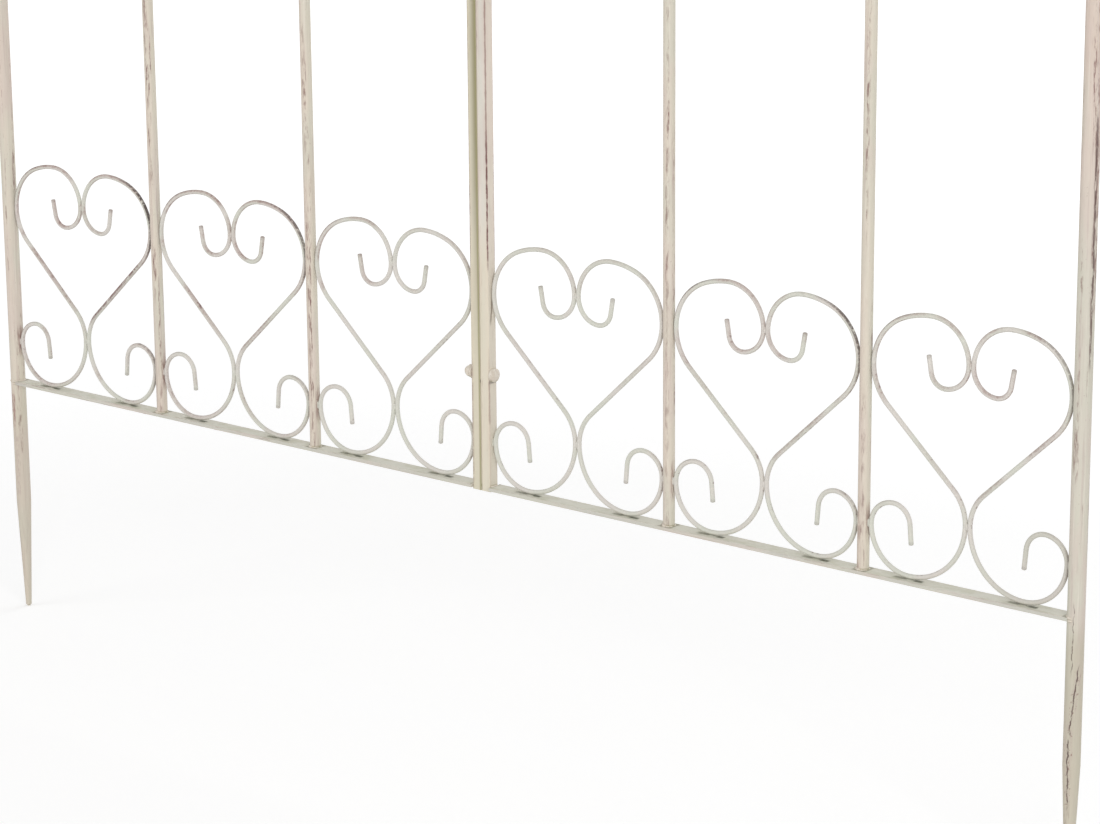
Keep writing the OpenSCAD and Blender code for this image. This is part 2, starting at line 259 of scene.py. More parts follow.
class Paint:
    """Builds the nodes of one material."""

    def __init__(self, name):
        self.mat = bpy.data.materials.new(name)
        self.mat.use_nodes = True
        self.tree = self.mat.node_tree
        self.tree.nodes.clear()
        self.place = self.node("ShaderNodeTexCoord").outputs["Object"]
        self.x, self.y, self.z = self.split(self.place)
        normal = self.node("ShaderNodeNewGeometry").outputs["Normal"]
        self.nx, self.ny, self.nz = self.split(normal)

    def node(self, kind, **settings):
        made = self.tree.nodes.new(kind)
        for key, value in settings.items():
            setattr(made, key, value)
        return made

    def link(self, start, end):
        self.tree.links.new(start, end)

    def feed(self, socket, value):
        if isinstance(value, bpy.types.NodeSocket):
            self.link(value, socket)
        else:
            socket.default_value = value

    def split(self, vector):
        made = self.node("ShaderNodeSeparateXYZ")
        self.link(vector, made.inputs[0])
        return made.outputs

    def math(self, operation, a, b=0.0):
        made = self.node("ShaderNodeMath", operation=operation)
        self.feed(made.inputs[0], a)
        self.feed(made.inputs[1], b)
        return made.outputs[0]

    def times_add(self, value, factor, extra):
        """A value times a factor, plus another value."""
        made = self.node("ShaderNodeMath", operation="MULTIPLY_ADD")
        for socket, given in zip(made.inputs, (value, factor, extra)):
            self.feed(socket, given)
        return made.outputs[0]

    def ramp(self, value, low, high):
        """0 below low, 1 above high, and smooth between; low may be the larger."""
        made = self.node("ShaderNodeMapRange", interpolation_type="SMOOTHSTEP")
        self.feed(made.inputs["Value"], value)
        flip = low > high
        made.inputs["From Min"].default_value = min(low, high)
        made.inputs["From Max"].default_value = max(low, high)
        made.inputs["To Min"].default_value = 1.0 if flip else 0.0
        made.inputs["To Max"].default_value = 0.0 if flip else 1.0
        return made.outputs["Result"]

    def vector(self, x, y, z):
        made = self.node("ShaderNodeCombineXYZ")
        for socket, value in zip(made.inputs, (x, y, z)):
            self.feed(socket, value)
        return made.outputs[0]

    def scaled(self, vector, x, y, z, shift=0.0):
        made = self.node("ShaderNodeMapping")
        self.link(vector, made.inputs["Vector"])
        made.inputs["Scale"].default_value = (x, y, z)
        made.inputs["Location"].default_value = (shift, shift * 1.7, shift * 0.6)
        return made.outputs[0]

    def noise(self, vector, detail=2.0, rough=0.5):
        """Noise of one feature a unit along the vector."""
        made = self.node("ShaderNodeTexNoise")
        self.link(vector, made.inputs["Vector"])
        made.inputs["Scale"].default_value = 1.0
        made.inputs["Detail"].default_value = detail
        made.inputs["Roughness"].default_value = rough
        return made.outputs["Fac"]

    def grain(self, run, across, along, shift=0.0, detail=2.0, rough=0.5):
        """Noise with so many features a metre across the run and along it."""
        return self.noise(self.scaled(run, across, across, along, shift), detail, rough)

    def mix(self, factor, a, b):
        made = self.node("ShaderNodeMix", data_type="RGBA")
        self.feed(made.inputs[0], factor)
        self.feed(made.inputs[6], a)
        self.feed(made.inputs[7], b)
        return made.outputs[2]

    def pick(self, second, first_value, second_value):
        """The second value where the mask is 1, and the first where it is 0."""
        made = self.node("ShaderNodeMix", data_type="FLOAT")
        self.feed(made.inputs[0], second)
        self.feed(made.inputs[2], first_value)
        self.feed(made.inputs[3], second_value)
        return made.outputs[0]

    def near(self, value, middle, half, soft):
        """1 where the value is within half of the middle, and 0 beyond half + soft."""
        off = self.math("ABSOLUTE", self.math("SUBTRACT", value, middle))
        return self.ramp(off, half + soft, half)

    def facing(self, direction):
        """How squarely the surface faces a level direction, from -1 to 1."""
        return self.math("ADD", self.math("MULTIPLY", self.nx, direction[0]),
                         self.math("MULTIPLY", self.ny, direction[1]))

    def distance(self, a, b):
        """The length of a line with these two level and upright parts."""
        return self.math("SQRT", self.math("ADD", self.both(a, a), self.both(b, b)))

    def tint(self, colour, mask, strength, new):
        return self.mix(self.weaken(mask, strength), colour, new)

    def weaken(self, mask, strength):
        return self.math("MULTIPLY", mask, strength)

    def both(self, a, b):
        return self.math("MULTIPLY", a, b)

    def either(self, a, b):
        return self.math("MAXIMUM", a, b)

    def right_half(self):
        return self.math("GREATER_THAN", self.x, 0.0)

    def left_half(self):
        return self.math("LESS_THAN", self.x, 0.0)

    def finish(self, colour, rough, relief, strength, depth):
        shader = self.node("ShaderNodeBsdfPrincipled")
        self.link(colour, shader.inputs["Base Color"])
        self.link(rough, shader.inputs["Roughness"])
        shader.inputs["Specular IOR Level"].default_value = 0.35
        bump = self.node("ShaderNodeBump")
        bump.inputs["Strength"].default_value = strength
        bump.inputs["Distance"].default_value = depth
        self.link(relief, bump.inputs["Height"])
        self.link(bump.outputs[0], shader.inputs["Normal"])
        out = self.node("ShaderNodeOutputMaterial")
        self.link(shader.outputs[0], out.inputs[0])
        return self.mat


def round_arch(p):
    """Coordinates that follow the side tube: across it, through it, and along it."""
    side = p.math("ABSOLUTE", p.x)
    dx = p.math("SUBTRACT", side, SHOULDER_X)
    dz = p.math("SUBTRACT", p.z, BEND_Z)
    turn = p.math("ARCTAN2", dz, dx)
    crown_dx = p.math("SUBTRACT", side, CROWN_X)
    crown_dz = p.math("SUBTRACT", p.z, CROWN_Z)
    crown_turn = p.math("ARCTAN2", crown_dz, crown_dx)
    crown_along = p.times_add(crown_turn, CROWN_R, (SHOULDER_R - CROWN_R) * SHOULDER_TURN)
    on_crown = p.math("GREATER_THAN", turn, SHOULDER_TURN)
    above = p.math("GREATER_THAN", p.z, BEND_Z)
    bent_along = p.pick(on_crown, p.math("MULTIPLY", turn, SHOULDER_R), crown_along)
    along = p.pick(above, dz, bent_along)
    bent_across = p.pick(on_crown,
                         p.math("ADD", p.distance(dx, dz), LEG_X - SHOULDER_R),
                         p.math("ADD", p.distance(crown_dx, crown_dz), LEG_X - CROWN_R))
    across = p.pick(above, side, bent_across)
    return p.vector(p.math("MULTIPLY", across, p.math("SIGN", p.x)), p.y, along)


def brushed_cream(p, run, base, streaks=1.0):
    """Cream paint brushed along the run, with maroon primer showing in thin broken streaks.

    run holds coordinates whose third value runs along the tube. The result is the colour,
    the roughness, the relief and the noise of the broken dashes.
    """
    bristles = p.grain(run, 620, 14, detail=3.0, rough=0.6)
    strands = p.grain(run, 330, 11, 5.3, detail=3.0, rough=0.65)
    lines = p.grain(run, 230, 6, 23.1)
    dashes = p.grain(run, 520, 75, 11.9, detail=4.0, rough=0.7)
    clouds = p.grain(run, 45, 9, 7.7, detail=3.0)
    tints = p.grain(run, 60, 12, 19.1, detail=3.0)
    speck = p.grain(run, 900, 500, 3.7)

    colour = p.tint(base, p.ramp(clouds, 0.44, 0.62), 0.5, GREEN)
    colour = p.tint(colour, p.ramp(tints, 0.48, 0.66), 0.55, PINK)
    colour = p.tint(colour, p.ramp(bristles, 0.52, 0.70), 0.45, PALE)
    colour = p.tint(colour, p.ramp(strands, 0.54, 0.68), 0.45 * streaks, TAN)
    worn = p.both(p.ramp(dashes, 0.47, 0.60), p.ramp(lines, 0.57, 0.65))
    colour = p.tint(colour, worn, 0.7 * streaks, BROWN)
    deep = p.both(p.ramp(dashes, 0.56, 0.64), p.ramp(lines, 0.61, 0.68))
    colour = p.tint(colour, deep, 0.7 * streaks, MAROON)
    colour = p.tint(colour, p.ramp(speck, 0.70, 0.76), 0.4, BROWN)

    rough = p.times_add(bristles, 0.25, 0.42)
    relief = p.math("SUBTRACT", bristles, p.weaken(worn, 0.5))
    return colour, rough, relief, dashes


def cell_places(p):
    """Where a point is in its cell.

    The result is the distance from the inner upright, the distance from the heart's middle,
    and 1 on the right half of the heart or -1 on its left half.
    """
    side = p.math("ABSOLUTE", p.x)
    in_cell = p.math("MODULO", p.math("SUBTRACT", side, POST_HIGH.x), CELL_PITCH)
    from_middle = p.math("SUBTRACT", in_cell, CELL_W / 2)
    way = p.math("MULTIPLY", p.math("SIGN", from_middle), p.math("SIGN", p.x))
    return in_cell, p.math("ABSOLUTE", from_middle), way


def contact_gap_shade(p, colour, dashes, inner_only):
    """Painted shade in brown on the sides of an upright, in the gaps where the wires are welded to
    it.
    """
    low_touch, high_touch = CONTACTS[-1]["outer_z"]
    touch = p.either(p.near(p.z, low_touch, 6 * MM, 12 * MM),
                     p.near(p.z, high_touch, 6 * MM, 14 * MM))
    if inner_only:
        sides = p.ramp(p.math("MULTIPLY", p.nx, p.math("SIGN", p.x)), -0.72, -0.95)
    else:
        sides = p.ramp(p.math("ABSOLUTE", p.nx), 0.72, 0.95)
    # Painted shade beside each wire, broken up by the dashes
    gap_shade = p.both(p.both(touch, sides), p.ramp(dashes, 0.36, 0.54))
    return p.tint(colour, gap_shade, 0.7, BROWN)


def foot_shade(p, colour, faces=1.0):
    """A line of olive painted shade where an upright stands on the rail."""
    foot = p.near(p.z, RAIL_TOP, 0.6 * MM, 1.6 * MM)
    return p.tint(colour, p.weaken(foot, faces), 0.55, OLIVE_SHADE)


def right_leg_chips(p, colour, across, chips):
    """A slanting row of chips low on the right leg, and a short row just below the rail."""
    sparse = p.grain(p.place, 800, 450, 51.3)
    waver = p.times_add(p.grain(p.place, 60, 110, 62.7, detail=3.0), 0.6, -0.3)
    wavering = p.math("ADD", across, waver)
    slant = p.times_add(p.math("SUBTRACT", p.z, CHIP_ROW_Z), CHIP_ROW_SLOPE, CHIP_ROW_FACING)
    slant = p.math("MAXIMUM", slant, CHIP_ROW_LEAST)
    from_row = p.math("SUBTRACT", wavering, slant)
    low = p.both(p.near(p.z, *CHIP_ROW_SPAN), p.right_half())
    high = p.both(p.near(p.z, *SHORT_ROW_SPAN), p.right_half())
    row = p.both(p.near(from_row, 0.0, 0.03, 0.09), low)
    short_row = p.both(p.near(wavering, *SHORT_ROW_FACING), high)
    row = p.either(row, p.weaken(short_row, 0.8))
    around = p.both(p.near(from_row, 0.05, 0.25, 0.25), low)
    colour = p.tint(colour, p.both(around, p.ramp(chips, 0.42, 0.60)), 0.35, TAN)
    colour = p.tint(colour, p.both(row, p.ramp(chips, 0.40, 0.52)), 0.9, CHIP_DARK)
    return p.tint(colour, p.both(around, p.ramp(sparse, 0.62, 0.68)), 0.7, BROWN)


def left_leg_scrape(p, colour, across, chips):
    """A reddish scrape on the left leg just below the rail, and a faint one lower down."""
    scrape = p.both(p.near(across, *SCRAPE_FACING), p.near(p.z, *SCRAPE_SPAN))
    scrape = p.both(scrape, p.left_half())
    faint = p.both(p.near(across, *FAINT_FACING), p.near(p.z, *FAINT_SPAN))
    faint = p.both(faint, p.left_half())
    colour = p.tint(colour, p.both(scrape, p.ramp(chips, 0.40, 0.56)), 0.7, SCRAPE_RED)
    return p.tint(colour, p.both(faint, p.ramp(chips, 0.44, 0.60)), 0.5, TAN)


def below_rail(p, colour):
    """The legs below the rail: darker with painted shade, more on the right leg, and knocked."""
    # Painted shade below the rail, stronger on the right leg
    low_shade = p.times_add(p.right_half(), 0.25, 0.33)
    colour = p.tint(colour, p.both(p.ramp(p.z, *LEG_LOW_SHADE_FADE), low_shade), 1.0, LEG_LOW_SHADE)
    chips = p.grain(p.place, 520, 130, 33.9, detail=4.0, rough=0.7)
    across = p.facing(RIGHTWARD)
    colour = right_leg_chips(p, colour, across, chips)
    return left_leg_scrape(p, colour, across, chips)


def leg_tints(p, run, base):
    """Pink clouds on both side tubes. The right one is greener low down and rosy above."""
    clouds = p.grain(run, 14, 5, 40.3)
    base = p.tint(base, p.ramp(clouds, 0.46, 0.62), 0.5, PINK)
    low = p.both(p.ramp(p.z, *LEG_GREEN_FADE), p.right_half())
    low = p.both(low, p.math("MAXIMUM", p.ramp(p.z, *LEG_FOOT_FADE), 0.45))
    base = p.tint(base, low, 0.65, LEG_GREEN)
    high = p.both(p.ramp(p.z, *LEG_ROSE_FADE), p.right_half())
    return p.tint(base, high, 0.4, LEG_ROSE)


def rubbed_side(p, run, arch):
    """Where a round tube is rubbed: outer sides of the legs, and the fronts of the bars."""
    faced = p.math("MULTIPLY", p.math("SIGN", p.x), p.nx) if arch else p.facing(FRONT_LEFT)
    waver = p.times_add(p.grain(run, 20, 30, 31.7, detail=3.0), 0.16, faced)
    patches = p.grain(run, 25, 9, 2.1)
    if arch:
        rub = p.both(p.ramp(waver, 0.84, 0.98), p.ramp(patches, 0.34, 0.50))
        return p.both(rub, p.ramp(p.z, *LEG_RUB_FADE))
    rub = p.both(p.ramp(waver, 0.98, 1.05), p.ramp(patches, 0.41, 0.57))
    return p.both(rub, p.math("MAXIMUM", p.ramp(p.x, *BAR_RUB_FADE), 0.45))


def worn_line(p, run):
    """The dark broken line up the right leg, in two lengths."""
    waver = p.times_add(p.grain(run, 20, 30, 71.3, detail=3.0), 0.3, -0.15)
    from_line = p.math("ADD", p.facing(LINE_SIDE), waver)
    line = p.both(p.near(from_line, 0.0, 0.08, 0.12), p.math("GREATER_THAN", p.nx, 0.0))
    lengths = p.either(p.near(p.z, *HIGH_LINE_SPAN), p.near(p.z, *LOW_LINE_SPAN))
    return p.both(p.both(line, lengths), p.right_half())


def round_tube_paint(name, arch=False):
    """Painted shade along both sides of the tube, darker pink on the left and darker green on the
    right, with rubbed lines along the tube.
    """
    p = Paint(name)
    run = round_arch(p) if arch else p.place
    # Painted shade: darker pink where the tube faces left, darker green where it faces right
    base = p.mix(p.weaken(p.ramp(p.facing(LEFTWARD), 0.15, 0.85), 0.6), CREAM, PINK)
    base = p.tint(base, p.ramp(p.facing(RIGHTWARD), 0.0, 0.75), 0.6, GREEN)
    base = p.mix(0.35, base, TUBE_WARM)
    if arch:
        base = leg_tints(p, run, base)
    colour, rough, relief, dashes = brushed_cream(p, run, base, streaks=0.8)
    rub = rubbed_side(p, run, arch)
    colour = p.tint(colour, p.both(rub, p.ramp(dashes, 0.44, 0.58)), 0.6, BROWN)
    colour = p.tint(colour, p.both(rub, p.ramp(dashes, 0.54, 0.64)), 0.7, MAROON)
    if arch:
        line = p.both(worn_line(p, run), p.ramp(dashes, 0.34, 0.48))
        colour = p.tint(colour, line, 0.85, LEG_LINE)
    colour = contact_gap_shade(p, colour, dashes, inner_only=arch)
    colour = below_rail(p, colour) if arch else foot_shade(p, colour)
    return p.finish(colour, rough, relief, 0.35, 0.4 * MM)


def seam_shade(p, colour, side, left_front):
    """Painted shade on the front of the left centre tube: darker overall, and darker still upwards
    and towards the seam.
    """
    high = p.ramp(p.z, *SEAM_FADE)
    front_shade = p.both(left_front, p.math("MAXIMUM", high, 0.45))
    colour = p.tint(colour, front_shade, 0.7, POST_SHADED_FRONT)
    to_seam = p.both(left_front, p.ramp(side, 8.5 * MM, 0.5 * MM))
    colour = p.tint(colour, p.both(to_seam, high), 0.95, POST_SEAM_SHADE)
    at_seam = p.both(left_front, p.ramp(side, 2.8 * MM, 1.0 * MM))
    return p.tint(colour, at_seam, 0.85, OLIVE_SHADE)


def corner_wear(p, colour, side, left_front):
    """Paint rubbed off the outer corners of the centre tubes in long patches."""
    broken = p.noise(p.scaled(p.place, 260, 260, 150, 27.1), detail=4.0, rough=0.7)
    low_left = p.both(left_front, p.near(p.z, *LEFT_EDGE_SPAN))
    low_left = p.both(low_left, p.ramp(side, POST_HIGH.x - 3.2 * MM, POST_HIGH.x - 1.2 * MM))
    colour = p.tint(colour, p.both(low_left, p.ramp(broken, 0.34, 0.50)), 0.6, POST_EDGE)

    from_axis = p.math("ABSOLUTE", p.math("SUBTRACT", side, POST_MID))
    corner = p.math("MINIMUM", from_axis, p.math("ABSOLUTE", p.y))
    reach = p.times_add(broken, 1.6 * MM, corner)
    rubbed = p.both(p.ramp(reach, POST_HALF - 0.6 * MM, POST_HALF + 0.2 * MM),
                    p.ramp(side, POST_MID, POST_MID + 3.0 * MM))
    worst = p.near(p.z, *WORST_WEAR_SPAN)
    patches = p.ramp(p.grain(p.place, 8, 11, 14.2), 0.42, 0.54)
    lesser = p.both(patches, p.math("MAXIMUM", p.ramp(p.z, *LESSER_WEAR_FADE), 0.3))
    lesser = p.either(lesser, p.weaken(p.near(p.z, *LOW_WEAR_SPAN), 0.75))
    lesser = p.either(lesser, p.near(p.z, *HIGH_WEAR_SPAN))
    rubbed = p.both(rubbed, p.either(worst, lesser))
    colour = p.tint(colour, rubbed, 0.72, BROWN)
    deep = p.both(p.both(rubbed, worst), p.ramp(broken, 0.38, 0.52))
    return p.tint(colour, deep, 0.9, MAROON)


def side_scratch(p, colour, flank, dashes):
    """A long scratch down the outer side of the right centre tube."""
    drift = p.times_add(p.math("SUBTRACT", p.z, SCRATCH_SPAN[0]), SCRATCH_SLOPE, p.y)
    scratch = p.both(p.near(drift, 0.0, 0.5 * MM, 0.7 * MM), p.near(p.z, *SCRATCH_SPAN))
    scratch = p.both(scratch, p.both(flank, p.right_half()))
    return p.tint(colour, p.both(scratch, p.ramp(dashes, 0.28, 0.42)), 0.8, POST_SCRATCH)


def centre_tube_paint(name):
    """Square centre tubes: rubbed outer corners, and olive painted shade along the seam."""
    p = Paint(name)
    colour, rough, relief, dashes = brushed_cream(p, p.place, POST_CREAM, streaks=0.35)
    side = p.math("ABSOLUTE", p.x)
    front = p.ramp(p.ny, -0.4, -0.8)
    flank = p.ramp(p.math("ABSOLUTE", p.nx), 0.4, 0.8)
    middle = p.both(front, p.near(side, POST_MID, 0.8 * MM, 2.4 * MM))
    colour = p.tint(colour, middle, 0.35, POST_MIDDLE)
    colour = p.tint(colour, flank, 0.5, POST_FLANK)
    # Painted shade on the sides of the tubes low down
    colour = p.tint(colour, p.both(flank, p.ramp(p.z, *POST_FLANK_FADE)), 0.5, POST_LOW_FLANK_SHADE)
    colour = p.tint(colour, p.both(front, p.ramp(p.z, *POST_FRONT_FADE)), 0.5, POST_LOW_FRONT)
    left_front = p.both(p.left_half(), front)
    colour = seam_shade(p, colour, side, left_front)
    colour = corner_wear(p, colour, side, left_front)
    colour = side_scratch(p, colour, flank, dashes)
    # Painted shadow under the lower edge of each bolt head and nut, on the tube's sides
    for z in BOLT_HEIGHTS:
        under = p.both(p.near(p.z, z - BOLT_HEAD_R, 0.6 * MM, 1.4 * MM), flank)
        colour = p.tint(colour, under, 0.6, SLATE)
    colour = foot_shade(p, colour, flank)
    return p.finish(colour, rough, relief, 0.35, 0.4 * MM)


def rail_gap_shadows(p, colour, blotch, top, below):
    """Painted shadow in the gaps under each scroll where it comes down on the rail, and painted
    shade in the corners at the uprights.
    """
    in_cell, off, way = cell_places(p)
    from_foot = p.math("MULTIPLY", p.math("SUBTRACT", off, FOOT_OFFSET), way)
    ragged = p.times_add(blotch, 7 * MM, from_foot)
    gap = p.both(p.near(p.y, -0.9 * MM, 1.6 * MM, 1.2 * MM), p.both(top, below))
    right_gap = p.both(gap, p.near(ragged, 12.5 * MM, 2.6 * MM, 2.6 * MM))
    left_gap = p.both(gap, p.near(ragged, -4.5 * MM, 3.5 * MM, 4.0 * MM))
    # Painted shadow on both sides of each scroll's foot, darker on its right
    colour = p.tint(colour, right_gap, 0.85, SHADE)
    colour = p.tint(colour, left_gap, 0.65, RAIL_GAP_SHADE)
    # Painted shade where the rail's top meets an upright
    to_upright = p.math("MINIMUM", in_cell, p.math("SUBTRACT", CELL_W, in_cell))
    corner_shade = p.both(p.ramp(to_upright, 3.0 * MM, 0.5 * MM), top)
    return p.tint(colour, corner_shade, 0.55, RAIL_CORNER_SHADE)


def rail_edges(p, colour, top, below):
    """Pink and brown where the rail's long edges are rubbed, most of all at the left."""
    middle = p.times_add(below, RAIL_MID - UPPER_RAIL_MID, UPPER_RAIL_MID)
    off_z = p.math("ABSOLUTE", p.math("SUBTRACT", p.z, middle))
    face_edge = p.ramp(off_z, RAIL_HALF_T - 0.7 * MM, RAIL_HALF_T - 0.1 * MM)
    top_edge = p.ramp(p.math("ABSOLUTE", p.y), RAIL_HALF - 1.2 * MM, RAIL_HALF - 0.2 * MM)
    edge = p.either(p.both(face_edge, p.math("SUBTRACT", 1.0, top)), p.both(top_edge, top))
    edge = p.both(edge, p.math("MAXIMUM", p.ramp(p.x, *RAIL_RUB_FADE), 0.35))
    broken = p.noise(p.scaled(p.place, 60, 90, 300, 8.2), detail=4.0, rough=0.65)
    colour = p.tint(colour, p.both(edge, p.ramp(broken, 0.40, 0.54)), 0.5, PINK)
    return p.tint(colour, p.both(edge, p.ramp(broken, 0.54, 0.66)), 0.5, BROWN)


def rail_paint(name):
    """Flat rail: paler on top as painted light, with grimy grey-green blotches; green-cream at the
    front, rubbed along its edges.
    """
    p = Paint(name)
    run = p.vector(p.z, p.y, p.x)
    colour, rough, relief, _ = brushed_cream(p, run, RAIL_CREAM, streaks=0.35)
    top = p.ramp(p.math("ABSOLUTE", p.nz), 0.4, 0.8)
    blotch = p.noise(p.scaled(p.place, 60, 110, 60, 4.4), detail=4.0, rough=0.6)
    # Painted light: the top face is paler than the front
    colour = p.tint(colour, top, 0.9, RAIL_TOP_LIGHT)
    colour = p.tint(colour, p.both(top, p.ramp(blotch, 0.48, 0.66)), 0.45, RAIL_BLOTCH)
    below = p.math("LESS_THAN", p.z, (RAIL_MID + UPPER_RAIL_MID) / 2)
    colour = rail_gap_shadows(p, colour, blotch, top, below)
    colour = rail_edges(p, colour, top, below)
    return p.finish(colour, rough, relief, 0.35, 0.4 * MM)


def spared_hearts(p):
    """How far the hearts beside the centre tubes are spared the darker and browner marks."""
    low = p.both(p.near(p.x, *SPARED_LOW_SPAN), p.ramp(p.z, *SPARED_LOW_FADE))
    return p.weaken(p.either(low, p.near(p.x, *SPARED_SPAN)), 0.6)


def lobe_darkening(p, colour, off, way, height, flecks, spared):
    """Darker on the outer and upper side of each lobe, most of all beside the upright."""
    outward = p.math("MULTIPLY", p.nx, way)
    turned = p.math("ADD", p.weaken(outward, 0.8), p.weaken(p.nz, 0.5))
    lobe = p.ramp(off, CELL_W / 2 - 58 * MM, CELL_W / 2 - 12 * MM)
    outer = p.both(lobe, p.ramp(turned, 0.15, 0.65))
    outer = p.both(outer, p.both(p.ramp(flecks, 0.34, 0.52), p.math("MAXIMUM", height, 0.3)))
    most_darkened = p.either(p.near(p.x, *DARKER_LEFT_SPAN), p.near(p.x, *DARKER_RIGHT_SPAN))
    share = p.times_add(most_darkened, 0.45, 0.55)
    share = p.math("SUBTRACT", share, p.weaken(spared, 0.65))
    colour = p.tint(colour, p.both(outer, share), 0.95, WIRE_OUTER_DARK)
    return p.tint(colour, p.both(outer, p.near(p.x, *DARKEST_SPAN)), 0.6, WIRE_DARKEST)


def flank_rub(p, colour, way, drift, flecks, unspared):
    """Browner along the right flank of each heart, most of all in the first heart."""
    first = p.ramp(p.x, *FIRST_HEART_FADE)
    flank = p.both(p.near(p.z, *FLANK_SPAN), p.math("GREATER_THAN", way, 0.0))
    flank = p.both(flank, p.ramp(p.nz, -0.7, 0.2))
    flank = p.both(flank, p.either(first, p.ramp(drift, 0.40, 0.56)))
    flank = p.both(flank, unspared)
    colour = p.tint(colour, p.both(flank, p.ramp(flecks, 0.34, 0.56)), 0.45, WIRE_FLANK)
    first = p.both(flank, first)
    return p.tint(colour, p.both(first, p.ramp(flecks, 0.36, 0.52)), 0.8, WIRE_MAROON)


def cut_ends(p, colour, off):
    """The cut ends of the wire are a little darker."""
    for tip_x, tip_z in (LOWER_TIP, UPPER_TIP):
        from_tip = p.distance(p.math("SUBTRACT", off, tip_x),
                              p.math("SUBTRACT", p.z, RAIL_TOP + tip_z))
        colour = p.tint(colour, p.ramp(from_tip, 3.2 * MM, 1.8 * MM), 0.22, SLATE)
    return colour


def brown_edges(p, colour, height, drift, flecks, unspared):
    """Browner with height, from wear, and along the two edges of the wire rather than its front,
    where the brown is painted shade of the round wire mixed with the wear.

    The result is the colour, and the mask of this wear and painted shade.
    """
    # Painted shade along the wire's edges, where the surface turns away from the front
    rim = p.ramp(p.math("ABSOLUTE", p.ny), 0.90, 0.45)
    upper = p.ramp(p.nz, -0.4, 0.6)
    lift = p.times_add(height, 0.7, p.weaken(p.ramp(p.x, *WIRE_BROWN_FADE), 0.45))
    worn = p.both(p.ramp(drift, 0.38, 0.56), p.math("MINIMUM", lift, 1.0))
    worn = p.both(p.both(worn, unspared), p.either(p.weaken(rim, 0.8), upper))
    colour = p.tint(colour, worn, 0.75, TAN)
    colour = p.tint(colour, p.both(worn, p.ramp(flecks, 0.48, 0.60)), 0.5, BROWN)
    deep = p.both(p.both(p.ramp(flecks, 0.54, 0.64), rim), p.ramp(drift, 0.52, 0.64))
    return p.tint(colour, deep, 0.6, MAROON), worn


def wire_paint(name):
    """Scroll wire: pale green-cream below, browner above, darker beside the uprights, with painted
    shade along its edges and where it sits on the rail.
    """
    p = Paint(name)
    blotch = p.grain(p.place, 22, 22, 1.3, detail=3.0)
    drift = p.grain(p.place, 30, 30, 17.9)
    flecks = p.grain(p.place, 260, 260, 6.1, detail=4.0, rough=0.7)
    bristles = p.grain(p.place, 420, 420, 2.9, detail=3.0, rough=0.6)
    colour = p.mix(p.ramp(blotch, 0.42, 0.60), WIRE_CREAM, WIRE_GREEN)
    colour = p.tint(colour, p.ramp(bristles, 0.52, 0.68), 0.35, PALE)

    height = p.ramp(p.z, *WIRE_HEIGHT_FADE)
    spared = spared_hearts(p)
    unspared = p.math("SUBTRACT", 1.0, spared)
    _, off, way = cell_places(p)
    colour, worn = brown_edges(p, colour, height, drift, flecks, unspared)
    colour = lobe_darkening(p, colour, off, way, height, flecks, spared)
    colour = flank_rub(p, colour, way, drift, flecks, unspared)
    last_low = p.both(p.ramp(p.x, *LAST_HEART_FADE), p.ramp(p.z, *LAST_LOW_FADE))
    colour = p.tint(colour, last_low, 0.4, WIRE_DULL)
    colour = cut_ends(p, colour, off)
    # Painted shade on the wire's underside where it sits on the rail
    at_rail = p.ramp(p.math("SUBTRACT", p.z, RAIL_TOP), 1.6 * MM, 0.4 * MM)
    colour = p.tint(colour, at_rail, 0.6, SHADE)
    rough = p.times_add(bristles, 0.25, 0.42)
    relief = p.math("SUBTRACT", bristles, p.weaken(worn, 0.4))
    return p.finish(colour, rough, relief, 0.3, 0.3 * MM)


def weld_paint(name):
    """Thick, slightly glossy paint that has run over a weld or a bolt."""
    p = Paint(name)
    lumps = p.grain(p.place, 260, 260, 3.3, detail=4.0, rough=0.6)
    flecks = p.grain(p.place, 520, 520, 9.4, detail=3.0, rough=0.65)
    colour = p.mix(p.ramp(lumps, 0.40, 0.60), WELD_DARK, WELD_PALE)
    colour = p.tint(colour, p.ramp(flecks, 0.56, 0.66), 0.55, PINK)
    colour = p.tint(colour, p.ramp(flecks, 0.64, 0.72), 0.7, BROWN)
    # Painted shade on the undersides of the beads
    colour = p.tint(colour, p.ramp(p.nz, -0.2, -0.8), 0.5, OLIVE_SHADE)
    rough = p.times_add(lumps, 0.2, 0.38)
    return p.finish(colour, rough, lumps, 0.4, 0.6 * MM)


def wear_material(name, material):
    """Gives a CAD node a material, without touching its mesh."""
    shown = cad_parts[name]
    while len(shown.material_slots) < 1:
        shown.data.materials.append(None)
    for held in shown.material_slots:
        held.link = "OBJECT"
        held.material = material


def new_piece(name, mesh, material):
    piece = bpy.data.objects.new(name, mesh)
    bpy.context.scene.collection.objects.link(piece)
    piece.data.materials.append(material)
    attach(piece, "root")


def lumpy(point, seed, size):
    """A smooth number from -1 to 1 that changes over a distance of size."""
    shift = Vector([seed * step for step in SEED_STEP])
    return noise.noise(Vector(point) / size + shift)


